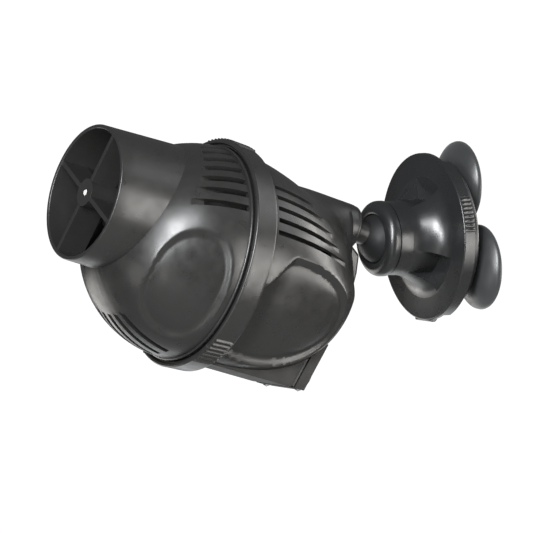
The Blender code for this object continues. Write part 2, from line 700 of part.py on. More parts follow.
def bobbin_and_winding(name, y, frame):
    leg_x = (CORE_FRONT - CORE_REAR) / 2
    tube, hole = square_ring(y, leg_x + 1.1, LEG_HALF + 1.1, -27.6, -8.0, leg_x + GAP, LEG_HALF + GAP)
    bobbin = add(f"coil_bobbin_{name}", tube, MATERIALS["bobbin"], frame)
    for low in (-27.6, -9.0):
        flange = square_ring(y, leg_x + 3.3, 5.2, low, low + 1.0, 1, 1)[0]
        fuse(bobbin, flange)
    cut(bobbin, hole)
    coil, inside = square_ring(y, leg_x + 3.0, 4.8, -26.2, -9.4, leg_x + 1.4, LEG_HALF + 1.4)
    winding = add(f"coil_winding_{name}", coil, MATERIALS["copper"], frame)
    cut(winding, inside)


# ---------------------------------------------------------------- rotor

def blade(angle):
    """A twisted blade, as a closed skin between two faces."""
    steps = 5
    half_thickness = 0.6
    rings = []
    for i in range(steps + 1):
        r = 4.5 + (PROPELLER_R - 4.5) * i / steps
        pitch = math.radians(58.0 - 30.0 * i / steps)
        chord = 8.5 + 5.0 * math.sin(math.pi * i / steps)
        ring = []
        for along, side in ((-0.5, -1), (0.0, -1), (0.5, -1), (0.5, 1), (0.0, 1), (-0.5, 1)):
            t = along * chord * math.cos(pitch) - side * half_thickness * math.sin(pitch)
            x = along * chord * math.sin(pitch) + side * half_thickness * math.cos(pitch)
            bend = t / r
            ring.append((23.0 + x, r * math.sin(bend), ROTOR_AXIS_Z + r * math.cos(bend)))
        rings.append(ring)
    bm = bmesh.new()
    rows = [[bm.verts.new([c * MM for c in p]) for p in ring] for ring in rings]
    for lower, upper in zip(rows, rows[1:]):
        for i in range(len(lower)):
            j = (i + 1) % len(lower)
            bm.faces.new((lower[i], lower[j], upper[j], upper[i]))
    bm.faces.new(rows[0][::-1])
    bm.faces.new(rows[-1])
    bmesh.ops.recalc_face_normals(bm, faces=bm.faces)
    return turn_x(bm, angle, z=ROTOR_AXIS_Z)


def propeller(frame):
    hub = [(PROPELLER_REAR, SLEEVE_BORE), (PROPELLER_REAR, PROPELLER_HUB_R), (PROPELLER_FRONT - 3.0, PROPELLER_HUB_R),
           (PROPELLER_FRONT - 0.8, 4.4), (PROPELLER_FRONT, 2.6), (PROPELLER_FRONT, SLEEVE_BORE)]
    wheel = add("propeller", turned(hub, 28, at=(0.0, ROTOR_AXIS_Z)), MATERIALS["impeller"], frame)
    for i in range(BLADES):
        fuse(wheel, blade(30.0 + 360.0 / BLADES * i))


def rotor(frame):
    sleeve_ring("rotor_magnet", -37.0, -13.0, SLEEVE_R + GAP, MAGNET_R, "magnet", frame, 24)
    sleeve_ring("rotor_sleeve", -37.6, PROPELLER_REAR - GAP, SLEEVE_BORE, SLEEVE_R, "impeller", frame, 20)
    propeller(frame)


def shaft_parts(frame):
    sleeve_ring("rear_bushing", -41.6, -39.4, SHAFT_R + GAP, 3.4, "rubber", frame)
    sleeve_ring("rear_thrust_washer", -39.0, -38.0, SHAFT_R + GAP, 4.0, "ceramic", frame)
    sleeve_ring("front_thrust_washer", 29.4, 30.4, SHAFT_R + GAP, 3.6, "ceramic", frame)
    shaft = [(-41.6, 0.0), (-41.6, SHAFT_R), (45.0, SHAFT_R), (45.4, SHAFT_R - 0.4), (45.4, 0.0)]
    add("rotor_shaft", turned(shaft, 20, at=(0.0, ROTOR_AXIS_Z)), MATERIALS["ceramic"], frame)


# ---------------------------------------------------------------- assembly

def clear_scene():
    for obj in list(bpy.data.objects):
        bpy.data.objects.remove(obj, do_unlink=True)


def make_materials():
    return {
        "pump": material("pump_plastic", (0.028, 0.027, 0.027), 0.38),
        "mount": material("mount_plastic", (0.020, 0.021, 0.022), 0.25),
        "cup": material("cup_rubber", (0.030, 0.032, 0.033), 0.45),
        "rubber": material("seal_rubber", (0.020, 0.020, 0.020), 0.70),
        "liner": material("liner_plastic", (0.10, 0.10, 0.10), 0.50),
        "steel": material("stainless_steel", (0.60, 0.60, 0.60), 0.30, 1.0),
        "iron": material("core_iron", (0.33, 0.33, 0.35), 0.50, 1.0),
        "bobbin": material("bobbin_nylon", (0.75, 0.73, 0.68), 0.50),
        "copper": material("copper_wire", (0.72, 0.32, 0.16), 0.35, 1.0),
        "magnet": material("magnet_ferrite", (0.07, 0.07, 0.075), 0.55),
        "impeller": material("impeller_plastic", (0.05, 0.05, 0.055), 0.45),
        "ceramic": material("shaft_ceramic", (0.85, 0.84, 0.80), 0.20),
        "guide": material("guide", (1.0, 0.0, 1.0), 0.50),
    }


def build():
    mount = empty("mount_axis", (0.0, 0.0, 0.0))
    mount_base(mount)
    suction_cups(mount)
    pivot_screw(mount)
    mount_shell(mount)
    socket_collar(mount)
    ball_seat(mount)
    ball_centre = empty("ball_centre", (BALL_X, 0.0, 0.0), drawn_from=(BALL_X, 0.0, 0.0))
    ball(ball_centre)

    ball_in_pump = pump_frame_of_ball()
    stem = empty("pump_pivot", (BALL_X, 0.0, 0.0), pitch=PUMP_PITCH,
                 drawn_from=(ball_in_pump[0], 0.0, ball_in_pump[1]))
    rear_cover(stem)
    motor_housing(stem)
    end_cap(stem)
    stator(stem)
    shaft_parts(stem)

    jet = empty("rotor_axis", (-ball_in_pump[0], 0.0, ROTOR_AXIS_Z - ball_in_pump[1]), stem,
                drawn_from=(0.0, 0.0, ROTOR_AXIS_Z))
    rotor(jet)
    front = empty("front_axis", (-ball_in_pump[0], 0.0, -ball_in_pump[1]), stem)
    front_cover(front)
    outlet_nozzle(front)
    sleeve_ring("front_bushing", HUB_REAR + 1.0, 44.1, SHAFT_R + GAP, 2.6, "rubber", front)
    lock_ring(front)


clear_scene()
MATERIALS = make_materials()
build()
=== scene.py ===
import json
import math

import bmesh
import bpy
from mathutils import Matrix, Vector


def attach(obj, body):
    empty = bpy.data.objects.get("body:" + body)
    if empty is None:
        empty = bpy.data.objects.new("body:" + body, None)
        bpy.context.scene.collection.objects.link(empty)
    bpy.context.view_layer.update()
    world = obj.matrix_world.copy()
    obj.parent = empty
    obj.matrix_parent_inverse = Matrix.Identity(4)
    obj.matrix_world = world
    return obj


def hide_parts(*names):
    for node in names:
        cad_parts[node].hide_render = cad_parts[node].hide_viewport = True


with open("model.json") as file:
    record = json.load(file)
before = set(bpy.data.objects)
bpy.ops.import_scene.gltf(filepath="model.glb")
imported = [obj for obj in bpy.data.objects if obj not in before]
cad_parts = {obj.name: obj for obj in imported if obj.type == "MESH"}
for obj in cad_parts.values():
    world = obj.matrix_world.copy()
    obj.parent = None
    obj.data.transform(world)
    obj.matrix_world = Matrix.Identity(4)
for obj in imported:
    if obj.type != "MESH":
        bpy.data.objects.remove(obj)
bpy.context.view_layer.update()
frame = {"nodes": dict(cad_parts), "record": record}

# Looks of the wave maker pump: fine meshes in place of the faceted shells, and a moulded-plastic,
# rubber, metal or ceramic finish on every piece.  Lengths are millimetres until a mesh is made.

JOINTS = {joint["name"]: joint for joint in frame["record"]["behaviour"]["joints"]}
MM = 0.001

# Front cover, a spheroid about the ring's axis, and its slots
COVER_R = 36.4
FRONT_POLAR = 38.4
COVER_WALL = 2.0
ROTOR_AXIS_Z = 9.3
NOZZLE_R = 23.2
NOZZLE_WALL = 1.4
NOZZLE_FRONT = 45.8
TOP_SLOTS = 16
SLOT_PITCH = 8.3
BOTTOM_SLOTS = 5
FRONT_SLOT_WIDTH = 2.3
CREASE_MARGIN = 6.0
# Rows of cells before, along and after the slots, and the rows over which a slot's end ramps up
FRONT_ROWS = (4, 42, 14)
FRONT_RAMP = 9
COLUMN_SPACING = 1.1

# Lock ring
RING_R = 39.0
RING_WIDTH = 8.4
RING_TAPER = 0.5
RIDGES_PER_TURN = 120.0

# Rear cover
REAR_LENGTH = 50.6
REAR_SLOTS = 5
REAR_SLOT_FIRST = 19.4
REAR_SLOT_PITCH = 7.05
REAR_SLOT_WIDTH = 1.7
# Rows of cells under the ring, before, along and after the slots
REAR_ROWS = (1, 2, 56, 26)
REAR_RAMP = 13
STEM_RADII = [(-33.0, 8.75), (-44.0, 8.35), (-53.0, 8.0)]
STEM_END = -56.2
GUSSET_HALF = 5.0

# Motor box, the slant of its end in degrees and the room left round it in the rear cover
BOX_FRONT = -9.5
BOX_BOTTOM = -34.7
BOX_REAR = -41.4
BOX_TOP = -17.6
BOX_SLANT = 16.0
BOX_HALF = 13.0
BOX_ROOM = 0.35

# Ball mount
BALL_R = 9.0
SHELL_R = 28.0
NECK_R = 12.4
SOCKET_R = 10.4
PIVOT_HOLE_R = 2.4
POCKET_HALF_ANGLE = 24.0
POCKET_R = 20.0
RIM_STEP_Z = 25.7
COLLAR_R = 12.65
COLLAR_FRONT = -33.6
COLLAR_ROUNDING = 2.6
CUP_CIRCLE_R = 17.5
CUP_R = 14.2
BUTTON_HOLE_R = 3.4
CUPS = {"suction_cup_top": 93.7, "suction_cup_left": 213.7, "suction_cup_right": 333.7}

# Meshes: the angle that counts as an edge, in degrees, and what a boolean's result is cleaned to
SHARP_ANGLE = 38.0
MERGE_DISTANCE = 0.006
DISSOLVE_DISTANCE = 0.003


# ---------------------------------------------------------------- frames

def pump_matrix():
    """The pump frame: X along the water jet, Z towards the stem, origin at the ring's front plane."""
    ring = JOINTS["ring_turn"]
    jet = Vector(ring["axis"]).normalized()
    side = Vector((0.0, -1.0, 0.0))
    up = jet.cross(side)
    rotation = Matrix((jet, side, up)).transposed().to_4x4()
    return Matrix.Translation(ring["pos_m"]) @ rotation


PUMP = pump_matrix()
BALL = Vector(JOINTS["ball_pitch"]["pos_m"])
BALL_IN_PUMP = (PUMP.inverted() @ BALL) / MM


# ---------------------------------------------------------------- mesh helpers

def smoothstep(low, high, value):
    t = min(1.0, max(0.0, (value - low) / (high - low)))
    return t * t * (3.0 - 2.0 * t)


def lerp(a, b, t):
    return a + (b - a) * t


def curve_through(points, per_span=6):
    """Points on a smooth curve through the given (x, r) points."""
    ends = [points[0], *points, points[-1]]
    result = []
    for p0, p1, p2, p3 in zip(ends, ends[1:], ends[2:], ends[3:]):
        for k in range(per_span):
            t = k / per_span
            result.append(tuple(
                0.5 * (2 * b + (c - a) * t + (2 * a - 5 * b + 4 * c - d) * t * t
                       + (3 * b - a - 3 * c + d) * t ** 3)
                for a, b, c, d in zip(p0, p1, p2, p3)))
    result.append(points[-1])
    return result


def arc(centre, radius, start, end, steps):
    """Points (x, r) on an arc, angles in degrees from the +x direction."""
    points = []
    for i in range(steps + 1):
        angle = math.radians(lerp(start, end, i / steps))
        points.append((centre[0] + radius * math.cos(angle), centre[1] + radius * math.sin(angle)))
    return points


def object_of(name, bm, matrix=None, smooth=SHARP_ANGLE):
    """A mesh object from a bmesh in millimetres."""
    bmesh.ops.remove_doubles(bm, verts=bm.verts, dist=1e-4)
    bmesh.ops.delete(bm, geom=[edge for edge in bm.edges if not edge.link_faces], context="EDGES")
    bmesh.ops.recalc_face_normals(bm, faces=bm.faces)
    bmesh.ops.scale(bm, vec=(MM, MM, MM), verts=bm.verts)
    if matrix:
        bmesh.ops.transform(bm, matrix=matrix, verts=bm.verts)
    mesh = bpy.data.meshes.new(name)
    bm.to_mesh(mesh)
    bm.free()
    mesh.shade_smooth()
    mesh.set_sharp_from_angle(angle=math.radians(smooth))
    obj = bpy.data.objects.new(name, mesh)
    bpy.context.scene.collection.objects.link(obj)
    return obj


def turned(profile, segments=128, at=(0.0, 0.0), bump=None):
    """A solid turned about X from a closed (x, r) outline; bump(x, r, degrees) is added to r."""
    bm = bmesh.new()
    rings = []
    for x, r in profile:
        ring = []
        for i in range(segments):
            angle = math.tau * i / segments
            radius = r + (bump(x, r, math.degrees(angle)) if bump else 0.0)
            point = (x, at[0] + radius * math.cos(angle), at[1] + radius * math.sin(angle))
            ring.append(bm.verts.new(point))
        rings.append(ring)
    for lower, upper in zip(rings, [*rings[1:], rings[0]]):
        for i in range(segments):
            j = (i + 1) % segments
            bm.faces.new((lower[i], lower[j], upper[j], upper[i]))
    return bm


def prism(outline, low, high, across="y"):
    """An outline extruded across y, from (x, z) points, or across x, from (y, z) points."""
    bm = bmesh.new()
    sides = []
    for level in (low, high):
        if across == "y":
            sides.append([bm.verts.new((u, level, v)) for u, v in outline])
        else:
            sides.append([bm.verts.new((level, u, v)) for u, v in outline])
    bm.faces.new(sides[0])
    bm.faces.new(sides[1][::-1])
    for i in range(len(outline)):
        j = (i + 1) % len(outline)
        bm.faces.new((sides[0][i], sides[0][j], sides[1][j], sides[1][i]))
    return bm


def block(low, high):
    """A box between two opposite corners."""
    outline = [(low[0], low[2]), (high[0], low[2]), (high[0], high[2]), (low[0], high[2])]
    return prism(outline, low[1], high[1])


def turn_x(bm, degrees, z=0.0):
    centre = Matrix.Translation((0.0, 0.0, z))
    turn = centre @ Matrix.Rotation(math.radians(degrees), 4, "X") @ centre.inverted()
    bmesh.ops.transform(bm, matrix=turn, verts=bm.verts)
    return bm


def bevel(obj, width, segments=2, angle=35.0):
    modifier = obj.modifiers.new("edge_rounding", "BEVEL")
    modifier.width = width * MM
    modifier.segments = segments
    modifier.limit_method = "ANGLE"
    modifier.angle_limit = math.radians(angle)
    modifier.harden_normals = True


def boolean(obj, operation, bm, matrix=None):
    """Cut or add a shape, applied at once so that the helper can go."""
    other = object_of("helper", bm, matrix)
    modifier = obj.modifiers.new("shape", "BOOLEAN")
    modifier.operation = operation
    modifier.solver = "EXACT"
    modifier.object = other
    graph = bpy.context.evaluated_depsgraph_get()
    mesh = bpy.data.meshes.new_from_object(obj.evaluated_get(graph))
    obj.modifiers.clear()
    cleaned = bmesh.new()
    cleaned.from_mesh(mesh)
    bmesh.ops.remove_doubles(cleaned, verts=cleaned.verts, dist=MERGE_DISTANCE * MM)
    bmesh.ops.dissolve_degenerate(cleaned, edges=cleaned.edges, dist=DISSOLVE_DISTANCE * MM)
    cleaned.to_mesh(mesh)
    cleaned.free()
    old = obj.data
    obj.data = mesh
    bpy.data.meshes.remove(old)
    helper_mesh = other.data
    bpy.data.objects.remove(other)
    bpy.data.meshes.remove(helper_mesh)


def resmooth(obj, smooth=SHARP_ANGLE):
    """Smooth shading again after a boolean, up to the edges that count as sharp."""
    obj.data.shade_smooth()
    obj.data.set_sharp_from_angle(angle=math.radians(smooth))


def slotted_shell(outer, inner, depth):
    """A wall between two grids of points, rows along the axis and columns round it.

    depth(row, column) is None where the wall is whole, and for a slot the pair of its floor's depths at
    the cell's two rows, as a share of the wall: 1 goes right through.
    """
    rows, columns = len(outer), len(outer[0])
    bm = bmesh.new()
    out = [[bm.verts.new(p) for p in row] for row in outer]
    inn = [[bm.verts.new(p) for p in row] for row in inner]
    floors = {}

    def at(grid, i, j):
        return grid[i][j % columns]

    def floor(i, j, share):
        if share >= 1.0:
            return at(inn, i, j)
        if share <= 0.0:
            return at(out, i, j)
        key = (i, j % columns)
        if key not in floors:
            floors[key] = bm.verts.new(at(out, i, j).co.lerp(at(inn, i, j).co, share))
        return floors[key]

    def face(*verts):
        unique = list(dict.fromkeys(verts))
        if len(unique) > 2:
            bm.faces.new(unique)

    for i in range(rows - 1):
        for j in range(columns):
            cell = depth(i, j)
            if cell is None:
                face(at(out, i, j), at(out, i, j + 1), at(out, i + 1, j + 1), at(out, i + 1, j))
                face(at(inn, i, j), at(inn, i + 1, j), at(inn, i + 1, j + 1), at(inn, i, j + 1))
                continue
            near, far = cell
            for column in (j, j + 1):
                face(at(out, i, column), at(out, i + 1, column),
                     floor(i + 1, column, far), floor(i, column, near))
            if near < 1.0 or far < 1.0:
                face(floor(i, j, near), floor(i, j + 1, near), floor(i + 1, j + 1, far), floor(i + 1, j, far))
                face(at(inn, i, j), at(inn, i + 1, j), at(inn, i + 1, j + 1), at(inn, i, j + 1))
            if i > 0 and depth(i - 1, j) is None:
                face(at(out, i, j), at(out, i, j + 1), at(inn, i, j + 1), at(inn, i, j))
    for i in (0, rows - 1):
        for j in range(columns):
            face(at(out, i, j), at(out, i, j + 1), at(inn, i, j + 1), at(inn, i, j))
    return bm


# ---------------------------------------------------------------- covers

def side_angle(degrees):
    """Angle above the horizontal, from -90 to 90, the same on both sides."""
    return math.degrees(math.asin(max(-1.0, min(1.0, math.sin(math.radians(degrees))))))


def hollow(s, t, edge):
    """1 inside a rounded oval that spans -1 to 1 in s and t, falling to 0 over a narrow edge."""
    return smoothstep(0.0, edge, 1.0 - (abs(s) ** 2.5 + abs(t) ** 2.5) ** 0.4)


def front_dimple(x, phi):
    """Depth of the finger grip on each side of the front cover."""
    s = (x - 15.4) / 12.3
    t = (phi + 26.0) / 39.0
    return 1.5 * hollow(s, t, 0.16) + 0.9 * hollow(s, t, 0.9)


def rear_dimple(x, phi):
    """Depth of the large scoop on each side of the rear cover, which runs up to the lock ring."""
    if x > -RING_WIDTH - 0.2:
        return 0.0
    near_ring = smoothstep(-20.0, -9.0, x)
    s = (x + 24.0) / 26.0
    t = (phi + 26.0 + 8.0 * near_ring) / (37.0 - 9.0 * near_ring)
    return 2.6 * hollow(s, t, 0.12) + 1.6 * hollow(s, t, 0.7)


def columns_for(slots, width):
    """Columns round a shell as (angle, signed half width) pairs, with one cell for each slot."""
    edges = []
    for centre in sorted(slots):
        edges.append((centre, -width / 2))
        edges.append((centre, width / 2))
    columns = []
    cells = {}
    count = len(edges)
    for k, (angle, half) in enumerate(edges):
        if half < 0:
            cells[len(columns)] = angle
        columns.append((angle, half))
        if half > 0:
            following = edges[(k + 1) % count][0] + (360.0 if k + 1 == count else 0.0)
            gap = following - angle
            steps = max(2, round((gap - 2.0) / COLUMN_SPACING))
            for m in range(1, steps):
                columns.append((angle + gap * m / steps, half * (1 - 2 * m / steps)))
    return columns, cells


def column_angle(column, radius):
    """A column's angle where the shell has this radius, so that slots keep their width."""
    angle, half = column
    return angle + math.degrees(math.asin(max(-1.0, min(1.0, half / max(radius, 3.0)))))


def crease_x(phi):
    """Where the nozzle leaves the dome, at an angle phi in degrees round the ring's axis."""
    angle = math.radians(phi)
    lift = ROTOR_AXIS_Z * math.sin(angle)
    r = lift + math.sqrt(NOZZLE_R ** 2 - (ROTOR_AXIS_Z * math.cos(angle)) ** 2)
    return FRONT_POLAR * math.sqrt(1.0 - (r / COVER_R) ** 2)


def front_stations(phi):
    """x of the front cover's rows at an angle: skirt, slot start, slot end and the nozzle's crease."""
    below = smoothstep(-55.0, -70.0, phi)
    crease = crease_x(phi)
    stops = [-3.0, lerp(1.4, 6.0, below), lerp(crease - CREASE_MARGIN, 25.6, below), crease + 0.25]
    stations = [stops[0]]
    for low, high, count in zip(stops, stops[1:], FRONT_ROWS):
        stations += [lerp(low, high, k / count) for k in range(1, count + 1)]
    return stations


def front_point(x, phi, column, wall):
    """A point of the front cover's outer face, or of its inner face when wall is its thickness."""
    share = max(-1.0, min(1.0, x / FRONT_POLAR))
    beta = math.asin(max(0.0, share))
    radius = (COVER_R - wall) * math.cos(beta)
    real_x = x if x < 0 else (FRONT_POLAR - wall) * math.sin(beta)
    r = radius - front_dimple(x, side_angle(phi))
    angle = math.radians(column_angle(column, r))
    return real_x, r * math.cos(angle), r * math.sin(angle)


def front_cover():
    first = 90.0 - SLOT_PITCH * (TOP_SLOTS - 1) / 2.0
    top = [first + SLOT_PITCH * k for k in range(TOP_SLOTS)]
    bottom = [-90.0 + SLOT_PITCH * (k - (BOTTOM_SLOTS - 1) / 2.0) for k in range(BOTTOM_SLOTS)]
    columns, cells = columns_for(top + bottom, FRONT_SLOT_WIDTH)
    stations = [front_stations(side_angle(angle)) for angle, _ in columns]
    start = FRONT_ROWS[0]
    end = start + FRONT_ROWS[1]

    def depth(i, j):
        if j not in cells or not start <= i < end:
            return None
        return tuple(min(1.0, (end - row) / FRONT_RAMP) for row in (i, i + 1))

    grids = []
    for wall in (0.0, COVER_WALL):
        grids.append([[front_point(stations[j][i], column[0], column, wall)
                       for j, column in enumerate(columns)] for i in range(sum(FRONT_ROWS) + 1)])
    shell = object_of("front_shell", slotted_shell(*grids, depth), PUMP, 32.0)
    bevel(shell, 0.18)
    dress(shell, "front", "pump_plastic", "front_cover")


def cover_bead():
    """Thin raised bead between the front cover and the lock ring, with a groove on each side."""
    profile = [(-1.6, 35.0), (1.0, 35.0), (1.0, 36.3), (0.8, 36.75), (0.35, 36.9), (-0.1, 36.75),
               (-0.3, 36.3), (-1.6, 36.3)]
    bead = object_of("cover_bead", turned(profile, 192), PUMP, 50.0)
    dress(bead, "front", "pump_plastic")


def rear_radius(x, phi, wall):
    """Distance from the ring's axis, slimmer above the side's middle, with the stem's root on top."""
    share = min(1.0, (-x - RING_WIDTH) / REAR_LENGTH) if x < -RING_WIDTH else 0.0
    power = lerp(2.6, 1.8, smoothstep(-5.0, 25.0, phi)) - 0.38 * smoothstep(40.0, 85.0, phi)
    body = (COVER_R - wall) * math.sqrt(max(0.0, 1.0 - share ** power))
    crest = BALL_IN_PUMP.z + lerp(8.75, 8.0, smoothstep(-33.0, -53.0, x)) - wall
    rise = max(0.0, crest - body) * smoothstep(42.0, 84.0, phi)
    rise *= smoothstep(-57.8, -50.0, x)
    return body + rise


def rear_stations(phi):
    """x of the rear cover's rows at an angle: under the ring, slot start, slot end and the crown."""
    slot = min(4.6, max(-0.6, (phi - REAR_SLOT_FIRST) / REAR_SLOT_PITCH))
    stops = [-3.6, -RING_WIDTH - 0.25, -10.3, -44.0 + 4.15 * slot, -RING_WIDTH - REAR_LENGTH]
    stations = [stops[0]]
    for low, high, count in zip(stops, stops[1:], REAR_ROWS):
        for k in range(1, count + 1):
            share = k / count
            if high == stops[-1]:
                share = math.sin(share * math.pi / 2)
            stations.append(lerp(low, high, share))
    return stations


def rear_point(x, phi, column, wall):
    """A point of the rear cover's outer face, or of its inner face when wall is its thickness."""
    side = side_angle(phi)
    share = min(1.0, max(0.0, (-x - RING_WIDTH) / REAR_LENGTH))
    r = rear_radius(x, side, wall)
    r -= min(r * 0.5, rear_dimple(x, side) * (1.0 - share ** 6))
    angle = math.radians(column_angle(column, r) if r > 6.0 else phi)
    real_x = x + wall * smoothstep(0.55, 1.0, share)
    return real_x, r * math.cos(angle), r * math.sin(angle)


def rear_cover():
    near = [REAR_SLOT_FIRST + REAR_SLOT_PITCH * k for k in range(REAR_SLOTS)]
    columns, cells = columns_for(near + [180.0 - phi for phi in near], REAR_SLOT_WIDTH)
    stations = [rear_stations(side_angle(angle)) for angle, _ in columns]
    start = REAR_ROWS[0] + REAR_ROWS[1]
    end = start + REAR_ROWS[2]

    def depth(i, j):
        if j not in cells or not start <= i < end:
            return None
        return tuple(min(1.0, (end - row) / REAR_RAMP) for row in (i, i + 1))

    grids = []
    for wall in (0.0, COVER_WALL):
        grids.append([[rear_point(stations[j][i], column[0], column, wall)
                       for j, column in enumerate(columns)] for i in range(sum(REAR_ROWS) + 1)])
    shell = object_of("rear_shell", slotted_shell(*grids, depth), PUMP, 32.0)
    top = BOX_TOP + BOX_ROOM
    half = BOX_HALF + BOX_ROOM
    opening = [(-9.3, -60.0), (-9.3, -14.0), (-46.0, -14.0), (-46.0, top), (-62.0, top), (-62.0, -60.0)]
    boolean(shell, "DIFFERENCE", prism(opening, -half, half), PUMP)
    resmooth(shell, 32.0)
    dress(shell, "pump", "pump_plastic", "rear_cover")


def stem():
    """Round stem that runs from the rear cover's crown to the ball."""
    ball_x = BALL_IN_PUMP.x
    end = curve_through([(-22.0, 9.4), *STEM_RADII, (STEM_END + 1.2, 7.7)], 4)
    shoulder = arc((STEM_END + 1.0, 6.7), 1.0, 80.0, 180.0, 8)
    neck = [(STEM_END, 5.0), (STEM_END - 0.5, 4.4), (STEM_END - 1.2, 4.2)]
    seat = [(ball_x + x, r) for x, r in arc((0.0, 0.0), BALL_R + 0.12, 27.0, 0.0, 6)]
    profile = [(-22.0, 0.0), *end, *shoulder, *neck, *seat]
    body = object_of("stem", turned(profile, 96, at=(0.0, BALL_IN_PUMP.z)), PUMP, 40.0)
    dress(body, "pump", "pump_plastic")


def gusset():
    """Rib under the stem, short enough at the rear to clear the collar at the ball's limits."""
    outline = [(-52.0, 18.0), (-55.6, 17.0), (-59.4, 14.6), (-60.2, 8.5), (-60.2, 2.5), (-57.0, -4.0),
               (-44.0, -4.0), (-44.0, 18.0)]
    rib = object_of("stem_gusset", prism(outline, -GUSSET_HALF, GUSSET_HALF), PUMP, 30.0)
    bevel(rib, 1.2, 4, 25.0)
    dress(rib, "pump", "pump_plastic")


# ---------------------------------------------------------------- lock ring

def ring_grip(x, r, degrees):
    """Fine ridges in patches at the top and low on each side."""
    if r < RING_R - 0.7 or not -RING_WIDTH + 0.8 < x < -0.9:
        return 0.0
    phi = side_angle(degrees)
    top = smoothstep(72.0, 73.5, phi)
    low = smoothstep(-43.0, -44.0, phi) * smoothstep(-66.0, -65.0, phi)
    wave = 0.5 + 0.5 * math.cos(math.radians(degrees) * RIDGES_PER_TURN)
    return (top + low) * (0.1 + 0.6 * wave ** 1.5)


def lock_ring():
    """Knurled ring, slightly narrower at the rear, with rounded edges and a lip round the bead."""
    edge = arc((-0.7, RING_R - 0.7), 0.7, 0.0, 90.0, 5)
    rear_r = RING_R - RING_TAPER
    rear_edge = arc((-RING_WIDTH + 0.6, rear_r - 0.6), 0.6, 90.0, 180.0, 5)
    stations = (-0.95, -1.3, -2.2, -RING_WIDTH / 2, 2.2 - RING_WIDTH, 1.3 - RING_WIDTH, 0.85 - RING_WIDTH)
    across = [(x, lerp(RING_R, rear_r, x / -RING_WIDTH)) for x in stations]
    lip = [(0.0, RING_R - 1.15), (-0.35, RING_R - 1.45), (-0.9, RING_R - 1.6), (-0.9, COVER_R + 0.5)]
    profile = [*lip[::-1], *edge, *across, *rear_edge, (-RING_WIDTH, COVER_R + 0.3), (-1.2, COVER_R + 0.3)]
    ring = object_of("grip_ring", turned(profile, 1080, bump=ring_grip), PUMP, 40.0)
    dress(ring, "ring", "pump_plastic", "lock_ring")


# ---------------------------------------------------------------- nozzle and rotor

def nozzle():
    """Outlet tube with its rounded edge, four deep spokes and the hub that holds the shaft."""
    bore = NOZZLE_R - NOZZLE_WALL
    centre = (0.0, ROTOR_AXIS_Z)
    edge = arc((NOZZLE_FRONT - 0.5, NOZZLE_R - 0.5), 0.5, 90.0, 0.0, 4)
    inner_edge = arc((NOZZLE_FRONT - 0.45, bore + 0.45), 0.45, 0.0, -90.0, 4)
    taper = [(x, NOZZLE_R + (44.0 - x) / 70.0) for x in (20.0, 30.0, 40.0)]
    profile = [(-3.0, bore), (-3.0, NOZZLE_R), (12.0, NOZZLE_R + 0.45), *taper, *edge, *inner_edge]
    tube = object_of("outlet_tube", turned(profile, 144, at=centre), PUMP)
    for k in range(2):
        bar = block((36.0, -0.8, ROTOR_AXIS_Z - bore - 0.7),
                    (NOZZLE_FRONT - 0.5, 0.8, ROTOR_AXIS_Z + bore + 0.7))
        boolean(tube, "UNION", turn_x(bar, 66.0 - 90.0 + 90.0 * k, ROTOR_AXIS_Z), PUMP)
    hub = [(35.0, 0.0), (35.0, 4.7), (NOZZLE_FRONT - 0.3, 4.7), (NOZZLE_FRONT - 0.3, 0.0)]
    boolean(tube, "UNION", turned(hub, 48, at=centre), PUMP)
    seat = [(34.0, 0.0), (34.0, 2.9), (44.4, 2.9), (44.4, 1.35), (47.0, 1.35), (47.0, 0.0)]
    boolean(tube, "DIFFERENCE", turned(seat, 32, at=centre), PUMP)
    resmooth(tube)
    bevel(tube, 0.22, 2, 40.0)
    dress(tube, "front", "pump_plastic", "outlet_nozzle")


# ---------------------------------------------------------------- motor box

def motor_box():
    """Box with a slanted end below the rear cover, its wider part inside and the rotor well."""
    slant = math.tan(math.radians(BOX_SLANT))
    outline = [(BOX_FRONT, BOX_BOTTOM), (BOX_REAR, BOX_BOTTOM),
               (BOX_REAR - (BOX_TOP - BOX_BOTTOM) * slant, BOX_TOP),
               (-43.0, BOX_TOP), (-43.0, -7.0), (BOX_FRONT, -7.0)]
    box = object_of("motor_box", prism(outline, -BOX_HALF, BOX_HALF), PUMP, 30.0)
    boolean(box, "UNION", block((-38.0, -16.5, -8.0), (-9.4, 16.5, 16.0)), PUMP)
    boolean(box, "UNION", turned([(-43.4, 0.0), (-43.4, 11.0), (-9.2, 11.0), (-9.2, 0.0)], 64,
                                 at=(0.0, ROTOR_AXIS_Z)), PUMP)
    boolean(box, "DIFFERENCE", turned([(-41.9, 0.0), (-41.9, 9.6), (-6.0, 9.6), (-6.0, 0.0)], 64,
                                      at=(0.0, ROTOR_AXIS_Z)), PUMP)
    resmooth(box, 30.0)
    bevel(box, 0.9, 4, 40.0)
    dress(box, "pump", "pump_plastic", "motor_housing", finish="box_plastic")


# ---------------------------------------------------------------- mount

def rim_grip(x, r, degrees):
    """A patch of ridges on each side of the mount's rim."""
    if r < SHELL_R - 0.2 or not -13.4 < x < -10.1:
        return 0.0
    phi = side_angle(degrees)
    inside = smoothstep(7.0, 7.7, phi) * smoothstep(32.8, 32.1, phi)
    wave = 0.5 + 0.5 * math.cos(math.radians(degrees) * RIDGES_PER_TURN)
    return inside * (0.45 * wave ** 1.5 - 0.1)


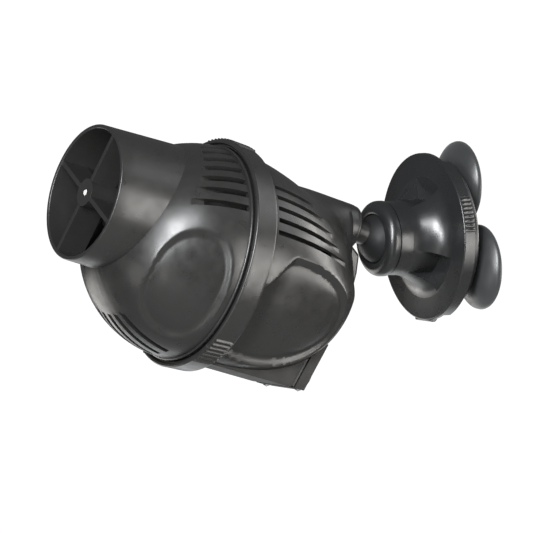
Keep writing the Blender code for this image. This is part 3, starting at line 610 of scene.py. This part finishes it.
def mount_shell():
    """Round shell with a flat face, a trumpet flare into the neck, three pockets and a stepped rim."""
    flare = curve_through([(-14.1, 20.6), (-14.5, 19.1), (-15.6, 17.4), (-17.3, 15.8), (-19.6, 14.3),
                           (-22.2, 13.0), (-24.8, NECK_R)])
    rim = [(-9.4, 26.0), (-9.4, SHELL_R - 0.5), (-9.9, SHELL_R), (-10.3, SHELL_R), (-11.6, SHELL_R),
           (-12.9, SHELL_R), (-13.5, SHELL_R)]
    edge = arc((-13.6, SHELL_R - 0.5), 0.5, 90.0, 180.0, 6)
    inside = [(-29.1, NECK_R), (-29.1, SOCKET_R), (-19.9, SOCKET_R), (-19.9, PIVOT_HOLE_R),
              (-17.9, PIVOT_HOLE_R), (-17.9, SOCKET_R), (-11.9, SOCKET_R), (-11.9, 26.0)]
    shell = object_of("mount_front", turned([*rim, *edge, *flare, *inside], 720, bump=rim_grip))
    for k in range(3):
        boolean(shell, "DIFFERENCE", pocket(100.0 + 120.0 * k))
    for low, high in ((RIM_STEP_Z, 32.0), (-32.0, -RIM_STEP_Z)):
        boolean(shell, "DIFFERENCE", block((-12.4, -30.0, low), (-7.0, 30.0, high)))
    resmooth(shell)
    dress(shell, "shell", "mount_plastic", "mount_shell")


def pocket(middle):
    """Cutter for one pocket: a wedge that leaves the neck and the webs between the pockets."""
    half = POCKET_HALF_ANGLE
    points = arc((0.0, 0.0), NECK_R + 0.3, middle + half, middle - half, 12)
    points += arc((0.0, 0.0), POCKET_R, middle - half + 2.0, middle + half - 2.0, 14)
    return prism(points, -27.0, -14.0, across="x")


def thumb_tab():
    """Small tab under the rim, pushed to turn the shell."""
    outline = [(-13.9, -25.0), (-13.9, -28.3), (-12.2, -28.3), (-11.6, -27.6), (-11.2, -25.0)]
    tab = object_of("thumb_tab", prism(outline, -5.6, 5.6), smooth=30.0)
    bevel(tab, 0.5, 3)
    dress(tab, "shell", "mount_plastic")


def collar():
    """Ring that clamps the ball, with a rounded front and a mouth that follows the ball."""
    outer = arc((COLLAR_FRONT + COLLAR_ROUNDING, COLLAR_R - COLLAR_ROUNDING), COLLAR_ROUNDING,
                90.0, 180.0, 12)
    mouth = math.sqrt((BALL_R + 0.2) ** 2 - (BALL.x / MM - COLLAR_FRONT) ** 2)
    inner = arc((COLLAR_FRONT + 0.8, mouth + 0.9), 0.8, 180.0, 270.0, 6)
    profile = [(-29.4, BALL_R + 0.4), (-29.4, COLLAR_R - 0.3), (-29.5, COLLAR_R - 0.06),
               (-29.7, COLLAR_R), *outer, *inner]
    ring = object_of("ball_collar", turned(profile, 160))
    dress(ring, "collar", "mount_plastic", "socket_collar")


def ball():
    profile = [(BALL.x / MM + x, r) for x, r in arc((0.0, 0.0), BALL_R, 0.0, 180.0, 48)]
    sphere = object_of("swivel_ball", turned(profile, 96))
    dress(sphere, "swivel", "mount_plastic", "ball", finish="ball_plastic")


def cup_outline():
    """Outline of a cup: the hollow that meets the glass, its lip, its back and the button."""
    inside = curve_through([(-3.2, 0.0), (-3.0, 4.5), (-1.9, 9.0), (-0.5, 12.4), (0.0, 13.2)])
    lip = [(-0.05, CUP_R - 0.1), (-0.3, CUP_R)]
    back = curve_through([(-0.55, CUP_R), (-1.6, CUP_R - 0.45), (-3.2, 11.9), (-4.7, 8.9), (-5.7, 5.8),
                          (-6.1, 3.6)])
    button = [(-6.3, 3.2), (-9.4, 3.2), (-9.4, 4.5), (-10.4, 4.6), (-11.3, 3.6), (-11.5, 0.0)]
    return [*inside, *lip, *back, *button]


def cup_centre(degrees):
    angle = math.radians(degrees)
    return CUP_CIRCLE_R * math.cos(angle), CUP_CIRCLE_R * math.sin(angle)


def suction_cups():
    for name, degrees in CUPS.items():
        shape = turned(cup_outline(), 96, at=cup_centre(degrees))
        cup = object_of(name.replace("suction_", "rubber_"), shape)
        dress(cup, "glass_base", "cup_rubber", name)


def base_plate():
    """Plate behind the shell that holds the cups' buttons and the pivot post."""
    profile = [(-6.5, PIVOT_HOLE_R), (-6.5, 24.3), (-6.9, 25.0), (-7.5, 25.3), (-9.1, 25.3), (-9.1, 5.0),
               (-17.6, 5.0), (-17.6, PIVOT_HOLE_R)]
    plate = object_of("cup_plate", turned(profile, 128))
    hole = [(-5.0, 0.0), (-5.0, BUTTON_HOLE_R), (-11.0, BUTTON_HOLE_R), (-11.0, 0.0)]
    for degrees in CUPS.values():
        boolean(plate, "DIFFERENCE", turned(hole, 32, at=cup_centre(degrees)))
    resmooth(plate)
    bevel(plate, 0.25, 2, 40.0)
    dress(plate, "glass_base", "mount_plastic", "mount_base")


# ---------------------------------------------------------------- finishes

def finish_material(name, colour, roughness, metallic=0.0, coat=0.0, grain=0.0, mottle=0.06, wear=0.0,
                    sheen=0.0, specular=0.5, lines=None):
    """A procedural finish: clouded colour, mottled roughness, worn edges, and relief.

    The relief is a fine grain, or the bands that lines gives as (direction, scale, distortion).
    """
    mat = bpy.data.materials.new(name)
    mat.use_nodes = True
    nodes = mat.node_tree.nodes
    links = mat.node_tree.links
    shader = nodes["Principled BSDF"]
    shader.inputs["Metallic"].default_value = metallic
    shader.inputs["Coat Weight"].default_value = coat
    shader.inputs["Coat Roughness"].default_value = 0.12
    shader.inputs["Sheen Weight"].default_value = sheen
    shader.inputs["Specular IOR Level"].default_value = specular
    place = nodes.new("ShaderNodeTexCoord")

    def noise(scale, detail):
        node = nodes.new("ShaderNodeTexNoise")
        node.inputs["Scale"].default_value = scale
        node.inputs["Detail"].default_value = detail
        links.new(place.outputs["Object"], node.inputs["Vector"])
        return node

    def ranged(source, low, high):
        node = nodes.new("ShaderNodeMapRange")
        node.inputs["From Min"].default_value = 0.3
        node.inputs["From Max"].default_value = 0.7
        node.inputs["To Min"].default_value = low
        node.inputs["To Max"].default_value = high
        links.new(source, node.inputs["Value"])
        return node.outputs["Result"]

    cloud = noise(55.0, 4.0)
    patch = noise(240.0, 3.0)
    fine = noise(2200.0, 2.0)

    shade = nodes.new("ShaderNodeMix")
    shade.data_type = "RGBA"
    shade.inputs["A"].default_value = (*[c * 0.86 for c in colour], 1.0)
    shade.inputs["B"].default_value = (*[min(1.0, c * 1.14) for c in colour], 1.0)
    links.new(cloud.outputs["Fac"], shade.inputs["Factor"])

    edges = nodes.new("ShaderNodeNewGeometry")
    worn = nodes.new("ShaderNodeMapRange")
    worn.inputs["From Min"].default_value = 0.62
    worn.inputs["From Max"].default_value = 0.80
    worn.inputs["To Max"].default_value = wear
    links.new(edges.outputs["Pointiness"], worn.inputs["Value"])
    edge_mix = nodes.new("ShaderNodeMix")
    edge_mix.data_type = "RGBA"
    edge_mix.inputs["B"].default_value = (*[min(1.0, c * 2.2 + 0.03) for c in colour], 1.0)
    links.new(worn.outputs["Result"], edge_mix.inputs["Factor"])
    links.new(shade.outputs["Result"], edge_mix.inputs["A"])
    links.new(edge_mix.outputs["Result"], shader.inputs["Base Color"])

    mottled = ranged(patch.outputs["Fac"], roughness - mottle, roughness + mottle)
    links.new(mottled, shader.inputs["Roughness"])

    height = fine.outputs["Fac"]
    if lines:
        wave = nodes.new("ShaderNodeTexWave")
        wave.bands_direction = lines[0]
        wave.inputs["Scale"].default_value = lines[1]
        wave.inputs["Distortion"].default_value = lines[2]
        links.new(place.outputs["Object"], wave.inputs["Vector"])
        height = wave.outputs["Fac"]
    relief = nodes.new("ShaderNodeBump")
    relief.inputs["Strength"].default_value = grain
    relief.inputs["Distance"].default_value = 0.0001
    links.new(height, relief.inputs["Height"])
    links.new(relief.outputs["Normal"], shader.inputs["Normal"])
    return mat


def make_finishes():
    """One finish for each material slot, and the matter ones of the ball and the motor box."""
    return {
        "pump_plastic": finish_material("satin_black_plastic", (0.0150, 0.0147, 0.0143), 0.32, grain=0.04,
                                        wear=0.35),
        "ball_plastic": finish_material("dark_swivel_plastic", (0.0110, 0.0112, 0.0116), 0.5, grain=0.03,
                                        specular=0.2),
        "box_plastic": finish_material("matt_black_plastic", (0.0150, 0.0147, 0.0143), 0.5, grain=0.05,
                                       specular=0.14),
        "mount_plastic": finish_material("gloss_black_plastic", (0.0115, 0.0118, 0.0122), 0.29, grain=0.02,
                                         mottle=0.03, wear=0.25),
        "cup_rubber": finish_material("cup_rubber_finish", (0.021, 0.0225, 0.0235), 0.36, grain=0.06,
                                      mottle=0.05, sheen=0.15),
        "seal_rubber": finish_material("seal_rubber_finish", (0.018, 0.018, 0.018), 0.62, grain=0.25,
                                       sheen=0.2),
        "liner_plastic": finish_material("acetal_finish", (0.09, 0.09, 0.092), 0.42, grain=0.05),
        "stainless_steel": finish_material("steel_finish", (0.58, 0.58, 0.57), 0.28, 1.0, grain=0.25,
                                           lines=("X", 900.0, 1.5)),
        "core_iron": finish_material("lamination_finish", (0.30, 0.30, 0.32), 0.45, 1.0, grain=0.8,
                                     lines=("X", 320.0, 0.1)),
        "bobbin_nylon": finish_material("nylon_finish", (0.70, 0.68, 0.62), 0.48, grain=0.05),
        "copper_wire": finish_material("enamel_wire_finish", (0.70, 0.28, 0.12), 0.30, 1.0, coat=0.5,
                                       grain=1.0, lines=("Z", 420.0, 0.3)),
        "magnet_ferrite": finish_material("ferrite_finish", (0.06, 0.06, 0.065), 0.55, grain=0.3),
        "impeller_plastic": finish_material("impeller_finish", (0.035, 0.035, 0.037), 0.40, grain=0.08,
                                            wear=0.2),
        "shaft_ceramic": finish_material("ceramic_finish", (0.50, 0.50, 0.48), 0.16, grain=0.02, mottle=0.02),
    }


FINISHES = make_finishes()
SLOTS = {row["node"]: row["material_slot"] for row in frame["record"]["subparts"]}


def dress(obj, body, slot, *stands_for, finish=None):
    """Give a piece its finish and its body, and hide the CAD nodes that it stands for."""
    obj.data.materials.clear()
    obj.data.materials.append(FINISHES[finish or slot])
    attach(obj, body)
    if stands_for:
        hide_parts(*stands_for)


def dress_nodes(replaced):
    """Finish the CAD nodes that show as they are, with their edges rounded a little."""
    for name, obj in frame["nodes"].items():
        if name in replaced:
            continue
        obj.data.materials.clear()
        obj.data.materials.append(FINISHES["box_plastic" if name == "motor_end_cap" else SLOTS[name]])
        bevel(obj, 0.12, 2, 40.0)


# ---------------------------------------------------------------- stage

WHITE = (1.0, 1.0, 1.0, 1.0)
BACKDROP = 1.05


def mix_for_camera(tree, seen, otherwise, surface):
    """Camera rays meet one shader and every other ray the other, so reflections stay dim."""
    rays = tree.nodes.new("ShaderNodeLightPath")
    mix = tree.nodes.new("ShaderNodeMixShader")
    tree.links.new(rays.outputs["Is Camera Ray"], mix.inputs["Fac"])
    tree.links.new(otherwise, mix.inputs[1])
    tree.links.new(seen, mix.inputs[2])
    tree.links.new(mix.outputs["Shader"], surface)


def stage_material():
    """Pale floor that reads white to the camera and stays dim in the plastic's reflections."""
    mat = bpy.data.materials.new("pale_floor")
    mat.use_nodes = True
    nodes = mat.node_tree.nodes
    diffuse = nodes["Principled BSDF"]
    diffuse.inputs["Base Color"].default_value = (0.30, 0.30, 0.30, 1.0)
    diffuse.inputs["Roughness"].default_value = 0.9
    diffuse.inputs["Specular IOR Level"].default_value = 0.0
    glow = nodes.new("ShaderNodeEmission")
    glow.inputs["Color"].default_value = WHITE
    glow.inputs["Strength"].default_value = BACKDROP
    mix_for_camera(mat.node_tree, glow.outputs["Emission"], diffuse.outputs["BSDF"],
                   nodes["Material Output"].inputs["Surface"])
    return mat


def floor():
    """Floor far below the pump, so that it hides none of the low lights."""
    bm = bmesh.new()
    bmesh.ops.create_grid(bm, x_segments=8, y_segments=8, size=30000.0)
    bmesh.ops.translate(bm, verts=bm.verts, vec=(0.0, 0.0, -1000.0))
    ground = object_of("floor", bm)
    ground.data.materials.append(stage_material())


WARM = (1.0, 0.975, 0.935)
COOL = (0.965, 0.985, 1.0)
# name, azimuth, elevation, half width and half height in degrees, brightness, colour
PANELS = [
    ("key_low", -53.0, 5.0, 5.0, 9.0, 34.0, COOL),
    ("key_strip", -43.0, 24.0, 6.0, 11.0, 46.0, COOL),
    ("key_high", -27.0, 39.0, 7.0, 7.0, 16.0, COOL),
    ("front_softbox", 60.0, -6.0, 28.0, 11.0, 4.2, WARM),
    ("front_strip", 26.0, -9.0, 6.5, 20.0, 8.5, WARM),
    ("side_softbox", 86.0, 8.0, 9.0, 16.0, 6.0, WARM),
    ("high_fill", 70.0, 33.0, 22.0, 9.0, 1.5, COOL),
    ("table_bounce", -45.0, -26.0, 6.0, 12.0, 1.8, WARM),
    ("left_fill", -84.0, -20.0, 9.0, 9.0, 2.2, WARM),
    ("rear_fill", -165.0, -24.0, 18.0, 10.0, 2.0, WARM),
    ("rear_table", 150.0, -38.0, 28.0, 16.0, 1.0, COOL),
]
PANEL_DISTANCE = 1.2
LIT_POINT = Vector((-0.085, 0.0, 0.0))


def direction(azimuth, elevation):
    """Unit vector at an azimuth and elevation in degrees; azimuth 0 points to -Y."""
    a, e = math.radians(azimuth), math.radians(elevation)
    return Vector((math.sin(a) * math.cos(e), -math.cos(a) * math.cos(e), math.sin(e)))


def panel(name, azimuth, elevation, half_width, half_height, brightness, colour):
    """A rectangular area light on a sphere round the pump, aimed at it."""
    light = bpy.data.lights.new(name, "AREA")
    light.shape = "RECTANGLE"
    light.size = 2.0 * PANEL_DISTANCE * math.tan(math.radians(half_width))
    light.size_y = 2.0 * PANEL_DISTANCE * math.tan(math.radians(half_height))
    light.energy = 4.0 * light.size * light.size_y * brightness
    light.color = colour
    obj = bpy.data.objects.new(name, light)
    bpy.context.scene.collection.objects.link(obj)
    back = direction(azimuth, elevation)
    obj.location = LIT_POINT + back * PANEL_DISTANCE
    obj.rotation_euler = back.to_track_quat("Z", "Y").to_euler()


def lights():
    """The panels, and a world that reads white to the camera and dim to everything else."""
    for row in PANELS:
        panel(*row)
    world = bpy.data.worlds.new("studio")
    bpy.context.scene.world = world
    world.use_nodes = True
    nodes = world.node_tree.nodes
    dim = nodes["Background"]
    dim.inputs["Color"].default_value = (0.96, 0.97, 1.0, 1.0)
    dim.inputs["Strength"].default_value = 0.12
    white = nodes.new("ShaderNodeBackground")
    white.inputs["Color"].default_value = WHITE
    white.inputs["Strength"].default_value = BACKDROP
    mix_for_camera(world.node_tree, white.outputs["Background"], dim.outputs["Background"],
                   nodes["World Output"].inputs["Surface"])
    bpy.context.scene.view_settings.view_transform = "Standard"


CAMERA_AZIMUTH = -29.5
CAMERA_ELEVATION = 4.5
CAMERA_LENS = 1000.0
CAMERA_DISTANCE = 4.935


def camera():
    """The photograph's angle: from the nozzle's side, a little above, through a long lens."""
    back = direction(CAMERA_AZIMUTH, CAMERA_ELEVATION)
    azimuth = math.radians(CAMERA_AZIMUTH)
    right = Vector((math.cos(azimuth), math.sin(azimuth), 0.0))
    up = back.cross(right)
    # The mount's origin sits right of the frame's middle and a little above it.
    aim = right * -0.0645 + up * -0.01053 + back * 0.025
    data = bpy.data.cameras.new("camera")
    data.lens = CAMERA_LENS
    data.sensor_width = 36.0
    data.clip_end = 100.0
    obj = bpy.data.objects.new("camera", data)
    bpy.context.scene.collection.objects.link(obj)
    obj.location = aim + back * CAMERA_DISTANCE
    obj.rotation_euler = back.to_track_quat("Z", "Y").to_euler()
    bpy.context.scene.camera = obj


# ---------------------------------------------------------------- assembly

camera()
lights()
floor()
front_cover()
cover_bead()
rear_cover()
stem()
gusset()
lock_ring()
nozzle()
motor_box()
mount_shell()
thumb_tab()
collar()
ball()
suction_cups()
base_plate()
dress_nodes({"front_cover", "rear_cover", "lock_ring", "outlet_nozzle", "motor_housing", "mount_shell",
             "socket_collar", "ball", "mount_base", *CUPS})
